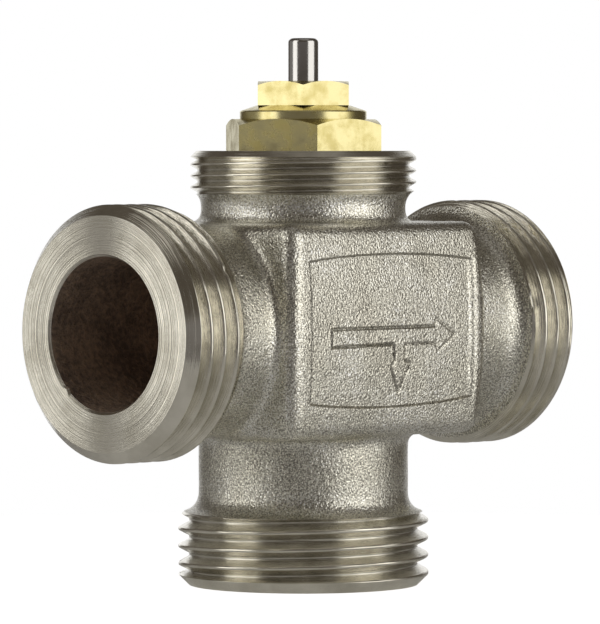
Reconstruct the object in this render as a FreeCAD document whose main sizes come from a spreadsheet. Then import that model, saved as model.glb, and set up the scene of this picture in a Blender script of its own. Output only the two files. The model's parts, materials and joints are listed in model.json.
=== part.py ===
"""Three-way valve for a thermostatic head, modelled piece by piece as it comes apart on a bench.

Frame: millimetres, +Z up along the stem, +X along the run from the inlet port to the straight outlet.
The origin is the centre of the bottom port's face. The stem axis and the port axis cross
axis_height above it, and every level below is counted from that crossing.

Flow: the left port opens into a middle chamber between two seats cast in the body. The seat above
leads over a web to the right port, and the seat below leads straight down to the bottom port.
One stem carries a disc above the upper seat and a disc below the lower seat. A spring holds it up,
with the lower seat shut. Pressing the pin by its travel shuts the upper seat and opens the lower one.
"""
import FreeCAD, Part
import os
import Sketcher

DIMENSIONS = {
    # outside of the casting
    "axis_height": 34.1,
    "half_run": 36.5,
    "collar_rise": 23.4,
    "block_half_length": 18.8,
    "block_half_width": 16.5,
    "block_half_height": 14.0,
    "block_crown": 1.0,
    "block_rounding": 2.0,
    "neck_radius": 13.9,
    "neck_flare": 2.4,
    "port_shoulder_radius": 15.8,
    "port_thread_radius": 16.62,
    "port_thread_length": 9.7,
    "port_chamfer": 1.4,
    "port_runout": 0.7,
    "collar_neck_radius": 13.55,
    "collar_flare": 2.0,
    "collar_shoulder_radius": 14.2,
    "collar_thread_radius": 15.0,
    "collar_thread_length": 5.7,
    "collar_chamfer": 0.8,
    "collar_runout": 0.6,
    "root_fillet": 1.2,
    # sunk panel on the front
    "panel_half_length": 15.5,
    "panel_end_half_height": 9.1,
    "panel_mid_half_height": 10.0,
    "panel_depth": 0.45,
    # waterways
    "bore_radius": 10.0,
    "bore_mouth": 0.4,
    "side_bore_end": 12.2,
    "seat_radius": 6.0,
    "bead_width": 0.8,
    "bead_height": 0.6,
    "web_thickness": 2.5,
    "upper_seat_rise": 6.0,
    "lower_seat_drop": 11.0,
    "middle_chamber_radius": 9.5,
    "upper_chamber_radius": 8.6,
    "inlet_half_width": 8.0,
    "outlet_half_width": 7.0,
    "outlet_top": 12.0,
    "passage_rounding": 1.5,
    # bonnet
    "bonnet_thread_radius": 9.0,
    "bonnet_thread_length": 5.9,
    "bonnet_foot": 13.2,
    "bonnet_hex": 19.0,
    "bonnet_hex_height": 4.2,
    "bonnet_hex_turn": 54.2,
    "bonnet_rim_radius": 8.4,
    "bonnet_rim_height": 1.1,
    "bonnet_cone_radius": 6.2,
    "bonnet_cone_height": 0.7,
    "spring_chamber_radius": 5.6,
    "bonnet_ring_section": 1.6,
    "bonnet_groove_width": 2.0,
    "bonnet_groove_rise": 1.4,
    # gland
    "gland_thread_radius": 5.0,
    "gland_shank": 2.6,
    "gland_hex": 12.0,
    "gland_hex_height": 3.2,
    "gland_hex_turn": 44.5,
    "gland_ring_section": 1.8,
    "gland_washer_thickness": 0.6,
    # stem and spring
    "travel": 2.5,
    "pin_radius": 2.0,
    "pin_top": 38.3,
    "pin_tip_chamfer": 0.4,
    "pin_flange_radius": 3.2,
    "pin_flange_thickness": 1.0,
    "spindle_radius": 2.5,
    "spindle_waist_radius": 2.0,
    "spindle_tail_radius": 1.5,
    "spindle_tail_stub": 1.0,
    "spindle_head_stub": 0.7,
    "cap_radius": 5.2,
    "cap_thickness": 0.8,
    "cap_lip": 0.8,
    "clip_thickness": 0.6,
    "clip_width": 1.2,
    "clip_bite": 0.4,
    "clip_opening": 60.0,
    "spring_wire": 0.9,
    "spring_mean_radius": 4.0,
    "spring_pitch": 1.5,
    "bush_thickness": 2.2,
    "bush_clip_bite": 0.5,
    "bush_clip_rise": 0.5,
    # discs
    "disc_radius": 7.7,
    "disc_web": 1.6,
    "seal_radius": 7.1,
    "seal_thickness": 2.0,
    "seal_pocket": 1.4,
    "disc_washer_radius": 4.4,
    "disc_washer_thickness": 0.8,
    "lock_nut_hex": 5.5,
    "lock_nut_height": 2.4,
    # clearances
    "seat_gap": 0.1,
    "fit_gap": 0.05,
    "flange_gap": 0.2,
}

ON_SURFACE = 0.001

doc = FreeCAD.newDocument("three_way_valve")
dim = doc.addObject("Spreadsheet::Sheet", "dim")
for row, (alias, size) in enumerate(DIMENSIONS.items(), start=1):
    dim.set(f"A{row}", alias)
    dim.set(f"B{row}", str(size))
    dim.setAlias(f"B{row}", alias)
doc.recompute()


def value(expression):
    """The present size of an expression on the sheet, in millimetres or degrees."""
    return float(dim.evalExpression(expression))


def minus(expression):
    return f"-({expression})"


# Levels along the stem, counted from the crossing of the two axes.
UPPER_SEAT = "dim.upper_seat_rise"
LOWER_SEAT = "-dim.lower_seat_drop"
UPPER_WEB = "(dim.upper_seat_rise - dim.bead_height)"
LOWER_WEB = "(-dim.lower_seat_drop + dim.bead_height)"
CHAMBER_TOP = "(dim.upper_seat_rise - dim.web_thickness)"
CHAMBER_FLOOR = "(-dim.lower_seat_drop + dim.web_thickness)"
UPPER_SEAL = "(dim.upper_seat_rise + dim.travel + dim.seat_gap)"
LOWER_SEAL = "(-dim.lower_seat_drop - dim.seat_gap)"
SPINDLE_SHOULDER = f"({UPPER_SEAL} + dim.seal_thickness + dim.disc_web)"
TAIL_SHOULDER = f"({LOWER_SEAL} + dim.disc_washer_thickness)"
LOWER_HOLDER = f"({LOWER_SEAL} - dim.seal_thickness - dim.disc_web)"
BONNET_SEAT = "dim.collar_rise"
BONNET_TOP = "(dim.collar_rise + dim.bonnet_hex_height + dim.bonnet_rim_height + dim.bonnet_cone_height)"
GLAND_FOOT = f"({BONNET_TOP} - dim.gland_shank)"
GLAND_TOP = f"({BONNET_TOP} + dim.gland_hex_height)"
PIN_FOOT = f"({GLAND_FOOT} - dim.flange_gap - dim.pin_flange_thickness)"
CAP_CLIP = f"({PIN_FOOT} - dim.spindle_head_stub - dim.clip_thickness)"
CAP_TOP = CAP_CLIP
SPRING_TOP = f"({CAP_TOP} - dim.cap_thickness)"
BUSH_CLIP = "(dim.bonnet_foot + dim.bush_clip_rise)"
BUSH_FOOT = f"({BUSH_CLIP} + dim.clip_thickness)"
BUSH_TOP = f"({BUSH_FOOT} + dim.bush_thickness)"


def new_body(name, level="0"):
    """A body whose own origin lies on the stem axis, level above the crossing of the axes."""
    made = doc.addObject("PartDesign::Body", name)
    made.Label = name
    made.setExpression("Placement.Base.z", f"dim.axis_height + {level}")
    return made


def origin_plane(body, role):
    return next(plane for plane in body.Origin.OriginFeatures if plane.Role == role)


def new_sketch(body, name, role):
    made = body.newObject("Sketcher::SketchObject", name)
    made.AttachmentSupport = [(origin_plane(body, role), "")]
    made.MapMode = "FlatFace"
    return made


def pin_point(sketch, geometry, end, across, up):
    """Hold one end of a sketch line at the place that two expressions give."""
    for kind, expression in (("DistanceX", across), ("DistanceY", up)):
        index = sketch.addConstraint(Sketcher.Constraint(kind, geometry, end, value(expression)))
        sketch.setExpression(f"Constraints[{index}]", expression)


def arc_between(start, end, radius, centre_side):
    """The short arc from start to end, its centre to the left (+1) or right (-1) of the chord."""
    chord = end - start
    half = chord.Length / 2
    normal = FreeCAD.Vector(-chord.y, chord.x, 0).normalize() * centre_side
    centre = start + chord / 2 + normal * max(radius**2 - half**2, 0) ** 0.5
    middle = centre + (start + chord / 2 - centre).normalize() * radius
    return Part.Arc(start, middle, end)


def draw_outline(sketch, corners):
    """Join the corners into one closed outline, each held by expressions.

    A corner is (across, up), reached by a straight line, or (across, up, radius, side),
    reached by an arc of that radius with its centre on that side of the way.
    """
    places = [FreeCAD.Vector(value(corner[0]), value(corner[1]), 0) for corner in corners]
    edges = []
    for index, corner in enumerate(corners):
        start = places[index - 1]
        if len(corner) == 2:
            edges.append(sketch.addGeometry(Part.LineSegment(start, places[index])))
        else:
            arc = arc_between(start, places[index], value(corner[2]), corner[3])
            edges.append(sketch.addGeometry(arc))
    starts, ends = {}, {}
    for index, edge in enumerate(edges):
        backwards = len(corners[index]) > 2 and corners[index][3] < 0
        starts[index], ends[index] = (2, 1) if backwards else (1, 2)
    for index, edge in enumerate(edges):
        following = (index + 1) % len(edges)
        joint = Sketcher.Constraint("Coincident", edge, ends[index], edges[following], starts[following])
        sketch.addConstraint(joint)
        pin_point(sketch, edge, ends[index], corners[index][0], corners[index][1])
        if len(corners[index]) > 2:
            bend = sketch.addConstraint(Sketcher.Constraint("Radius", edge, value(corners[index][2])))
            sketch.setExpression(f"Constraints[{bend}]", corners[index][2])


def revolve(body, name, corners, axis="V_Axis", angle="360", kind="Revolution"):
    """Turn an outline drawn in the XZ plane about the vertical or horizontal axis of its sketch."""
    sketch = new_sketch(body, f"{name}_profile", "XZ_Plane")
    draw_outline(sketch, corners)
    turned = body.newObject(f"PartDesign::{kind}", name)
    turned.Profile = sketch
    turned.ReferenceAxis = (sketch, [axis])
    turned.setExpression("Angle", angle)
    return turned


def turned_piece(name, level, corners, angle="360"):
    """A piece turned about the stem axis, with its own foot at level."""
    body = new_body(name, level)
    revolve(body, f"{name}_turn", corners, angle=angle)
    return body


def ring(inner, outer, low, high):
    return [(inner, low), (outer, low), (outer, high), (inner, high)]


def torus_piece(name, level, middle_radius, section_radius):
    made = doc.addObject("Part::Torus", name)
    made.Label = name
    made.setExpression("Radius1", middle_radius)
    made.setExpression("Radius2", section_radius)
    made.setExpression("Placement.Base.z", f"dim.axis_height + {level}")
    return made


def hexagon_pad(body, name, across_flats, turn, low, high):
    """A hexagonal bar between two levels, one corner turned from +X by an angle."""
    sketch = new_sketch(body, f"{name}_flats", "XY_Plane")
    sketch.setExpression("AttachmentOffset.Base.z", low)
    corner_radius = f"{across_flats} / 2 / cos(30)"
    corners = []
    for sixth in range(6):
        way = f"({turn} + {60 * sixth})"
        corners.append((f"{corner_radius} * cos({way})", f"{corner_radius} * sin({way})"))
    draw_outline(sketch, corners)
    pad = body.newObject("PartDesign::Pad", name)
    pad.Profile = sketch
    pad.setExpression("Length", f"{high} - ({low})")
    return pad


def chamfer_corners(body, name, across_flats, level, rise):
    """Turn the corners of a hexagon off at 30 degrees where the flats meet the end at level.

    rise is 1 where that end looks up and -1 where it looks down.
    """
    flat = f"{across_flats} / 2"
    outside = f"({flat} / cos(30) + dim.fit_gap)"
    drop = f"({outside} - {flat}) * tan(30) * {rise}"
    return revolve(body, name, [(flat, level), (outside, f"{level} - {drop}"), (outside, level)],
                   kind="Groove")


def flare_run(flare, neck, shoulder):
    """How far a flare of that radius runs along the axis while it grows from neck to shoulder."""
    return f"sqrt({flare}^2 - ({flare} - {shoulder} + {neck})^2)"


def branch(body, name, reach, size, along):
    """One arm of the casting: neck, flare, shoulder and thread cylinder, from the crossing out.

    size names the arm's own dimensions, and along maps (distance out, radius) to the sketch.
    """
    neck = size["neck"]
    flare = size["flare"]
    shoulder = size["shoulder"]
    thread = size["thread"]
    thread_start = f"({reach} - {size['length']})"
    flare_start = f"({thread_start} - {flare_run(flare, neck, shoulder)})"
    axis, side, place = along
    corners = [
        place("0", "0"),
        place("0", neck),
        place(flare_start, neck),
        (*place(thread_start, shoulder), flare, side),
        place(f"({thread_start} + {size['runout']})", thread),
        place(f"({reach} - {size['chamfer']})", thread),
        place(reach, f"({thread} - {size['chamfer']})"),
        place(reach, "0"),
    ]
    return revolve(body, name, corners, axis=axis)


PORT = {
    "neck": "dim.neck_radius", "flare": "dim.neck_flare", "shoulder": "dim.port_shoulder_radius",
    "thread": "dim.port_thread_radius", "length": "dim.port_thread_length",
    "chamfer": "dim.port_chamfer", "runout": "dim.port_runout",
}
COLLAR = {
    "neck": "dim.collar_neck_radius", "flare": "dim.collar_flare",
    "shoulder": "dim.collar_shoulder_radius", "thread": "dim.collar_thread_radius",
    "length": "dim.collar_thread_length", "chamfer": "dim.collar_chamfer",
    "runout": "dim.collar_runout",
}
TOWARDS_RIGHT = ("H_Axis", 1, lambda out, radius: (out, radius))
TOWARDS_LEFT = ("H_Axis", -1, lambda out, radius: (minus(out), radius))
UPWARDS = ("V_Axis", -1, lambda out, radius: (radius, out))
DOWNWARDS = ("V_Axis", 1, lambda out, radius: (radius, minus(out)))


def crowned_side(body, name, role, half_span, other_half):
    """Cut both outer sides of the block to a slight crown, highest at the level of the ports."""
    crown_radius = "((dim.block_half_height^2 + dim.block_crown^2) / 2 / dim.block_crown)"
    edge = f"({half_span} - dim.block_crown)"
    outside = f"({half_span} + dim.block_crown)"
    high = "dim.block_half_height"
    for side, word in ((1, "plus"), (-1, "minus")):
        sketch = new_sketch(body, f"{name}_{word}_outline", role)
        draw_outline(sketch, [
            (f"{side} * {edge}", minus(high)),
            (f"{side} * {edge}", high, crown_radius, side),
            (f"{side} * {outside}", high),
            (f"{side} * {outside}", minus(high)),
        ])
        cut = body.newObject("PartDesign::Pocket", f"{name}_{word}")
        cut.Profile = sketch
        cut.SideType = "Symmetric"
        cut.setExpression("Length", f"4 * {other_half}")


def arm_roots(shape):
    """Names of the edges where the necks of the arms leave the block."""
    names = []
    for number, edge in enumerate(shape.Edges, start=1):
        if edge.Degenerated:
            continue
        middle = edge.valueAt((edge.FirstParameter + edge.LastParameter) / 2)
        points = [middle] + [vertex.Point for vertex in edge.Vertexes]
        for neck, limit, along in (
            ("dim.neck_radius", "dim.block_half_length", "x"),
            ("dim.neck_radius", "dim.block_half_height", "z"),
            ("dim.collar_neck_radius", "dim.block_half_height", "z"),
        ):
            radius = value(neck)
            reach = value(limit) + value("dim.fit_gap")
            if all(abs(distance_from_axis(point, along) - radius) < ON_SURFACE
                   and abs(getattr(point, along)) < reach for point in points):
                names.append(f"Edge{number}")
                break
    return names


def distance_from_axis(point, along):
    other = point.z if along == "x" else point.x
    return (other**2 + point.y**2) ** 0.5


def rectangle(half_across, low, high):
    return [(minus(half_across), low), (half_across, low), (half_across, high),
            (minus(half_across), high)]


def make_pattern():
    """The outside of the casting: a crowned block with four arms."""
    body = new_body("casting_pattern")
    sketch = new_sketch(body, "block_outline", "XY_Plane")
    draw_outline(sketch, rectangle("dim.block_half_length", "-dim.block_half_width",
                                   "dim.block_half_width"))
    block = body.newObject("PartDesign::Pad", "block")
    block.Profile = sketch
    block.SideType = "Symmetric"
    block.setExpression("Length", "2 * dim.block_half_height")
    crowned_side(body, "block_front_back", "YZ_Plane", "dim.block_half_width",
                 "dim.block_half_length")
    crowned_side(body, "block_ends", "XZ_Plane", "dim.block_half_length",
                 "dim.block_half_width")
    squared_block = body.Tip
    rounding = body.newObject("PartDesign::Fillet", "block_rounding")
    rounding.Base = (squared_block, [])
    rounding.UseAllEdges = True
    rounding.setExpression("Radius", "dim.block_rounding")
    branch(body, "left_arm", "dim.half_run", PORT, TOWARDS_LEFT)
    branch(body, "right_arm", "dim.half_run", PORT, TOWARDS_RIGHT)
    branch(body, "bottom_arm", "dim.axis_height", PORT, DOWNWARDS)
    branch(body, "head_collar", "dim.collar_rise", COLLAR, UPWARDS)
    doc.recompute()
    sharp_roots = body.Tip
    roots = body.newObject("PartDesign::Fillet", "arm_root_fillets")
    roots.Base = (sharp_roots, arm_roots(sharp_roots.Shape))
    roots.setExpression("Radius", "dim.root_fillet")
    return body


def make_core():
    """The waterways and the machined bores, as one solid to cut out of the casting."""
    body = new_body("flow_core")
    beyond = "dim.bore_mouth"
    bore = "dim.bore_radius"
    mouth = "(dim.bore_radius + 2 * dim.bore_mouth)"
    bead = "(dim.seat_radius + dim.bead_width)"
    upper = "dim.upper_chamber_radius"
    thread = "(dim.bonnet_thread_radius + dim.fit_gap)"
    thread_foot = "(dim.collar_rise - dim.bonnet_thread_length - dim.fit_gap)"
    revolve(body, "stem_bores", [
        ("0", f"-dim.axis_height - {beyond}"),
        (mouth, f"-dim.axis_height - {beyond}"),
        (bore, f"-dim.axis_height + {beyond}"),
        (bore, LOWER_WEB),
        (bead, LOWER_WEB),
        (bead, LOWER_SEAT),
        ("dim.seat_radius", LOWER_SEAT),
        ("dim.seat_radius", CHAMBER_FLOOR),
        ("dim.middle_chamber_radius", CHAMBER_FLOOR),
        ("dim.middle_chamber_radius", CHAMBER_TOP),
        ("dim.seat_radius", CHAMBER_TOP),
        ("dim.seat_radius", UPPER_SEAT),
        (bead, UPPER_SEAT),
        (bead, UPPER_WEB),
        (upper, UPPER_WEB),
        (upper, thread_foot),
        (thread, thread_foot),
        (thread, f"dim.collar_rise + {beyond}"),
        ("0", f"dim.collar_rise + {beyond}"),
    ])
    for word, side in (("left", -1), ("right", 1)):
        revolve(body, f"{word}_bore", [
            (f"{side} * dim.side_bore_end", "0"),
            (f"{side} * dim.side_bore_end", bore),
            (f"{side} * (dim.half_run - {beyond})", bore),
            (f"{side} * (dim.half_run + {beyond})", mouth),
            (f"{side} * (dim.half_run + {beyond})", "0"),
        ], axis="H_Axis")
    for word, side, half_width, low, high in (
        ("inlet", -1, "dim.inlet_half_width", CHAMBER_FLOOR, CHAMBER_TOP),
        ("outlet", 1, "dim.outlet_half_width", UPPER_WEB, "dim.outlet_top"),
    ):
        sketch = new_sketch(body, f"{word}_passage_outline", "YZ_Plane")
        draw_outline(sketch, rounded_rectangle(half_width, low, high, "dim.passage_rounding"))
        passage = body.newObject("PartDesign::Pad", f"{word}_passage")
        passage.Profile = sketch
        passage.Reversed = side < 0
        passage.setExpression("Length", "dim.side_bore_end + 2 * dim.passage_rounding")
    return body


def rounded_rectangle(half_across, low, high, rounding):
    left = f"(-{half_across} + {rounding})"
    right = f"({half_across} - {rounding})"
    bottom = f"({low} + {rounding})"
    top = f"({high} - {rounding})"
    return [
        (left, low),
        (right, low),
        (half_across, bottom, rounding, 1),
        (half_across, top),
        (right, high, rounding, 1),
        (left, high),
        (minus(half_across), top, rounding, 1),
        (minus(half_across), bottom),
        (left, low, rounding, 1),
    ][1:]


def make_panel_die():
    """What sinks the front panel: a barrel-shaped outline with a crowned floor."""
    body = new_body("panel_die")
    ends = "dim.panel_end_half_height"
    swell = "(dim.panel_mid_half_height - dim.panel_end_half_height)"
    barrel = f"((dim.panel_half_length^2 + {swell}^2) / 2 / {swell})"
    sketch = new_sketch(body, "panel_outline", "XZ_Plane")
    draw_outline(sketch, [
        ("dim.panel_half_length", minus(ends), barrel, 1),
        ("dim.panel_half_length", ends),
        ("-dim.panel_half_length", ends, barrel, 1),
        ("-dim.panel_half_length", minus(ends)),
    ])
    prism = body.newObject("PartDesign::Pad", "panel_prism")
    prism.Profile = sketch
    prism.setExpression("Length", "dim.block_half_width + dim.block_crown")
    crown_radius = "((dim.block_half_height^2 + dim.block_crown^2) / 2 / dim.block_crown)"
    floor_radius = f"({crown_radius} - dim.panel_depth)"
    floor_middle = "(dim.block_half_width - dim.panel_depth)"
    reach = "dim.panel_mid_half_height + dim.block_crown"
    floor_edge = f"({floor_middle} - {floor_radius} + sqrt({floor_radius}^2 - ({reach})^2))"
    back = new_sketch(body, "panel_floor_outline", "YZ_Plane")
    draw_outline(back, [
        ("0", minus(reach)),
        ("0", reach),
        (minus(floor_edge), reach),
        (minus(floor_edge), minus(reach), floor_radius, 1),
    ])
    floor = body.newObject("PartDesign::Pocket", "panel_floor")
    floor.Profile = back
    floor.SideType = "Symmetric"
    floor.setExpression("Length", "4 * dim.panel_half_length")
    return body


def make_valve_body():
    """The casting: its outside, less the waterways and the sunk panel."""
    cored = doc.addObject("Part::Cut", "cored_casting")
    cored.Base = make_pattern()
    cored.Tool = make_core()
    casting = doc.addObject("Part::Cut", "valve_body")
    casting.Base = cored
    casting.Tool = make_panel_die()
    casting.Label = "valve_body"
    return casting


def make_bonnet():
    """The brass bonnet that screws into the head collar and houses the spring."""
    body = new_body("bonnet")
    foot = "dim.bonnet_foot"
    pilot = "(dim.upper_chamber_radius - dim.fit_gap)"
    groove = "(dim.upper_chamber_radius - 2 * dim.fit_gap - dim.bonnet_ring_section)"
    groove_low = f"({foot} + dim.bonnet_groove_rise)"
    groove_high = f"({groove_low} + dim.bonnet_groove_width)"
    thread_foot = "(dim.collar_rise - dim.bonnet_thread_length)"
    hex_top = "(dim.collar_rise + dim.bonnet_hex_height)"
    rim_top = f"({hex_top} + dim.bonnet_rim_height)"
    bush_clip_radius = "(dim.spring_chamber_radius + dim.bush_clip_bite + dim.fit_gap)"
    clip_low = f"({BUSH_CLIP} - dim.fit_gap)"
    clip_high = f"({BUSH_CLIP} + dim.clip_thickness)"
    gland = "(dim.gland_thread_radius + dim.fit_gap)"
    hexagon_pad(body, "bonnet_hexagon", "dim.bonnet_hex", "dim.bonnet_hex_turn",
                BONNET_SEAT, hex_top)
    chamfer_corners(body, "bonnet_hexagon_chamfer", "dim.bonnet_hex", hex_top, 1)
    revolve(body, "bonnet_shank", [
        ("0", foot),
        (pilot, foot),
        (pilot, groove_low),
        (groove, groove_low),
        (groove, groove_high),
        (pilot, groove_high),
        (pilot, thread_foot),
        ("dim.bonnet_thread_radius", thread_foot),
        ("dim.bonnet_thread_radius", BONNET_SEAT),
        ("dim.bonnet_rim_radius", BONNET_SEAT),
        ("dim.bonnet_rim_radius", rim_top),
        ("dim.bonnet_cone_radius", BONNET_TOP),
        ("0", BONNET_TOP),
    ])
    revolve(body, "bonnet_chamber", [
        ("0", f"{foot} - dim.clip_thickness"),
        ("dim.spring_chamber_radius", f"{foot} - dim.clip_thickness"),
        ("dim.spring_chamber_radius", clip_low),
        (bush_clip_radius, clip_low),
        (bush_clip_radius, clip_high),
        ("dim.spring_chamber_radius", clip_high),
        ("dim.spring_chamber_radius", f"{GLAND_FOOT} - dim.fit_gap"),
        (gland, f"{GLAND_FOOT} - dim.fit_gap"),
        (gland, f"{BONNET_TOP} + dim.clip_thickness"),
        ("0", f"{BONNET_TOP} + dim.clip_thickness"),
    ], kind="Groove")
    return body


def make_gland():
    """The small gland nut with its ring and washer, which seal the pin and can be changed alone."""
    hole = "(dim.pin_radius + dim.fit_gap)"
    pocket = "(dim.pin_radius + 3 * dim.fit_gap + dim.gland_ring_section)"
    ring_foot = "dim.gland_washer_thickness"
    nut = new_body("gland_nut", GLAND_FOOT)
    shank = "dim.gland_shank"
    hexagon_pad(nut, "gland_hexagon", "dim.gland_hex", "dim.gland_hex_turn", shank,
                f"({shank} + dim.gland_hex_height)")
    chamfer_corners(nut, "gland_hexagon_chamfer", "dim.gland_hex",
                    f"({shank} + dim.gland_hex_height)", 1)
    revolve(nut, "gland_thread", [
        ("0", "0"),
        ("dim.gland_thread_radius", "0"),
        ("dim.gland_thread_radius", shank),
        ("0", shank),
    ])
    ring_top = f"({ring_foot} + dim.gland_ring_section + 2 * dim.fit_gap)"
    revolve(nut, "gland_bore", [
        ("0", "-dim.gland_washer_thickness"),
        (pocket, "-dim.gland_washer_thickness"),
        (pocket, ring_top),
        (hole, ring_top),
        (hole, f"{shank} + dim.gland_hex_height + dim.gland_washer_thickness"),
        ("0", f"{shank} + dim.gland_hex_height + dim.gland_washer_thickness"),
    ], kind="Groove")
    torus_piece("gland_o_ring", f"{GLAND_FOOT} + {ring_foot} + dim.fit_gap + dim.gland_ring_section / 2",
                f"{hole} + dim.gland_ring_section / 2", "dim.gland_ring_section / 2")
    turned_piece("gland_washer", GLAND_FOOT,
                 ring(hole, f"({pocket} - dim.fit_gap)", "0", "dim.gland_washer_thickness"))


def make_bonnet_ring():
    section = "dim.bonnet_ring_section"
    middle = f"(dim.upper_chamber_radius - dim.fit_gap - {section} / 2)"
    level = "dim.bonnet_foot + dim.bonnet_groove_rise + dim.bonnet_groove_width / 2"
    torus_piece("bonnet_o_ring", level, middle, f"{section} / 2")


def make_pin():
    """The polished pin that the head presses, with the flange that keeps it in."""
    top = f"(dim.pin_top - {PIN_FOOT})"
    turned_piece("push_pin", PIN_FOOT, [
        ("0", "0"),
        ("dim.pin_flange_radius", "0"),
        ("dim.pin_flange_radius", "dim.pin_flange_thickness"),
        ("dim.pin_radius", "dim.pin_flange_thickness"),
        ("dim.pin_radius", f"{top} - dim.pin_tip_chamfer"),
        ("dim.pin_radius - dim.pin_tip_chamfer", top),
        ("0", top),
    ])


def make_spindle():
    """The spindle: a head with a clip groove, a waist for the upper disc and a threaded tail."""
    foot = f"({LOWER_HOLDER} - dim.lock_nut_height - dim.spindle_tail_stub)"

    def up(level):
        return f"({level} - {foot})"

    waist = "dim.spindle_waist_radius"
    head = "dim.spindle_radius"
    upper_clip = f"({UPPER_SEAL} - dim.disc_washer_thickness - dim.clip_thickness)"
    turned_piece("spindle", foot, [
        ("0", "0"),
        ("dim.spindle_tail_radius", "0"),
        ("dim.spindle_tail_radius", up(TAIL_SHOULDER)),
        (waist, up(TAIL_SHOULDER)),
        (waist, up(upper_clip)),
        (f"{waist} - dim.clip_bite", up(upper_clip)),
        (f"{waist} - dim.clip_bite", f"{up(upper_clip)} + dim.clip_thickness"),
        (waist, f"{up(upper_clip)} + dim.clip_thickness"),
        (waist, up(SPINDLE_SHOULDER)),
        (head, up(SPINDLE_SHOULDER)),
        (head, up(CAP_CLIP)),
        (f"{head} - dim.clip_bite", up(CAP_CLIP)),
        (f"{head} - dim.clip_bite", f"{up(CAP_CLIP)} + dim.clip_thickness"),
        (head, f"{up(CAP_CLIP)} + dim.clip_thickness"),
        (head, up(PIN_FOOT)),
        ("0", up(PIN_FOOT)),
    ])


def clip(name, level, shaft):
    """An open retaining ring that sits in a groove of a shaft."""
    inner = f"({shaft} - dim.clip_bite + dim.fit_gap)"
    outer = f"({shaft} + dim.clip_width)"
    turned_piece(name, level, ring(inner, outer, "0", "dim.clip_thickness"),
                 angle="360 - dim.clip_opening")


def make_spring_set():
    """The return spring between the guide bush below and the spring cap above."""
    bore = "(dim.spindle_radius + dim.fit_gap)"
    inside = "(dim.spring_mean_radius - dim.spring_wire / 2 - dim.fit_gap)"
    cap_top = "dim.cap_thickness"
    turned_piece("spring_cap", SPRING_TOP, [
        (bore, "-dim.cap_lip"),
        (inside, "-dim.cap_lip"),
        (inside, "0"),
        ("dim.cap_radius", "0"),
        ("dim.cap_radius", cap_top),
        (bore, cap_top),
    ])
    clip("spring_cap_clip", CAP_CLIP, "dim.spindle_radius")
    turned_piece("guide_bush", BUSH_FOOT,
                 ring(bore, "(dim.spring_chamber_radius - dim.fit_gap)", "0", "dim.bush_thickness"))
    bush_clip_outer = "(dim.spring_chamber_radius + dim.bush_clip_bite)"
    turned_piece("guide_bush_clip", BUSH_CLIP,
                 ring(f"({bush_clip_outer} - dim.clip_width - dim.bush_clip_bite)", bush_clip_outer,
                      "0", "dim.clip_thickness"),
                 angle="360 - dim.clip_opening")
    spring = new_body("return_spring", BUSH_TOP)
    sketch = new_sketch(spring, "spring_section", "XZ_Plane")
    wire = Part.Circle(FreeCAD.Vector(value("dim.spring_mean_radius"), value("dim.spring_wire / 2"), 0),
                       FreeCAD.Vector(0, 0, 1), value("dim.spring_wire / 2"))
    section = sketch.addGeometry(wire)
    pin_point(sketch, section, 3, "dim.spring_mean_radius", "dim.spring_wire / 2")
    width = sketch.addConstraint(Sketcher.Constraint("Radius", section, value("dim.spring_wire / 2")))
    sketch.setExpression(f"Constraints[{width}]", "dim.spring_wire / 2")
    coil = spring.newObject("PartDesign::AdditiveHelix", "spring_coil")
    coil.Profile = sketch
    coil.ReferenceAxis = (sketch, ["V_Axis"])
    coil.Mode = "pitch-height-angle"
    coil.setExpression("Pitch", "dim.spring_pitch")
    coil.setExpression("Height", f"{SPRING_TOP} - {BUSH_TOP} - dim.spring_wire")


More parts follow.
